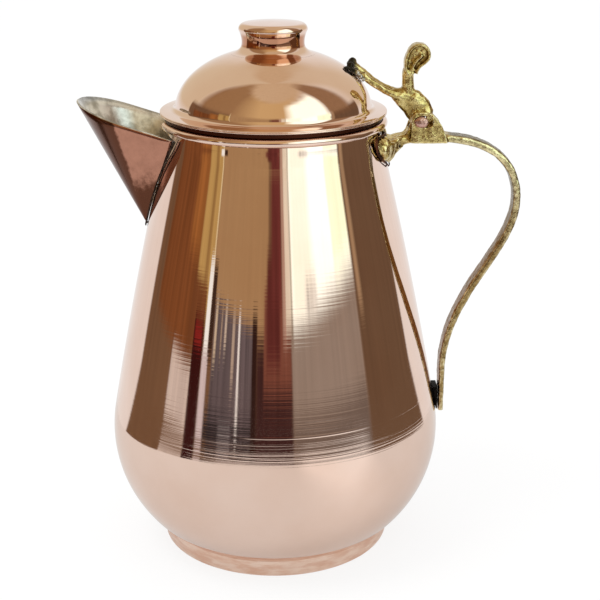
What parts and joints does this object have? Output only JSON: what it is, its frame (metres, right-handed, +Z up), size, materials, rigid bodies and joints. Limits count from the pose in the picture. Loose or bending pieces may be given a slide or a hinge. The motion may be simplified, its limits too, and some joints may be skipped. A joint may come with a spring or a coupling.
{
  "type": "lidded milk jug",
  "caption": "Round-bellied copper milk jug with an open beak spout, a hinged domed lid with knob and thumb lever, and a cast brass loop handle.",
  "frame": {"origin": "centre of the jug's base: on the body's axis, in the table plane, under the flat recessed floor of the foot", "axes": "+Z up the body's axis, the tallest extent; +X towards the handle, -X towards the spout; +Y across, the narrowest extent and the direction of the hinge pin"},
  "size_m": [0.1817, 0.1398, 0.2226],
  "materials": {
    "polished_copper": "mirror-polished copper, tinned inside",
    "satin_copper": "copper with a soft, slightly dull polish",
    "pin_copper": "hammered copper, dull",
    "cast_brass": "rough-cast brass, browned, bright where rubbed",
    "tin_solder": "dull tin solder",
    "dark_solder": "blackened solder",
    "steel_wire": "drawn wire"
  },
  "bodies": {
    "jug": {"foot_dish": "satin_copper", "foot_solder": "tin_solder", "body_shell": "polished_copper", "rim_wire": "steel_wire", "spout": "polished_copper", "spout_solder": "tin_solder", "handle": "cast_brass", "handle_pad_solder": "tin_solder", "handle_foot_solder": "dark_solder", "hinge_pin": "pin_copper"},
    "lid": {"lid_shell": "polished_copper", "lid_collar": "polished_copper", "collar_solder": "tin_solder", "lid_knob": "polished_copper", "knob_solder": "tin_solder", "lid_lever": "cast_brass", "lever_solder": "tin_solder"}
  },
  "joints": [
    {"name": "lid_hinge", "type": "hinge", "parent": "jug", "child": "lid", "pos_m": [0.0601, 0, 0.1825], "axis": [0, 1, 0], "range_deg": [0, 80]}
  ]
}
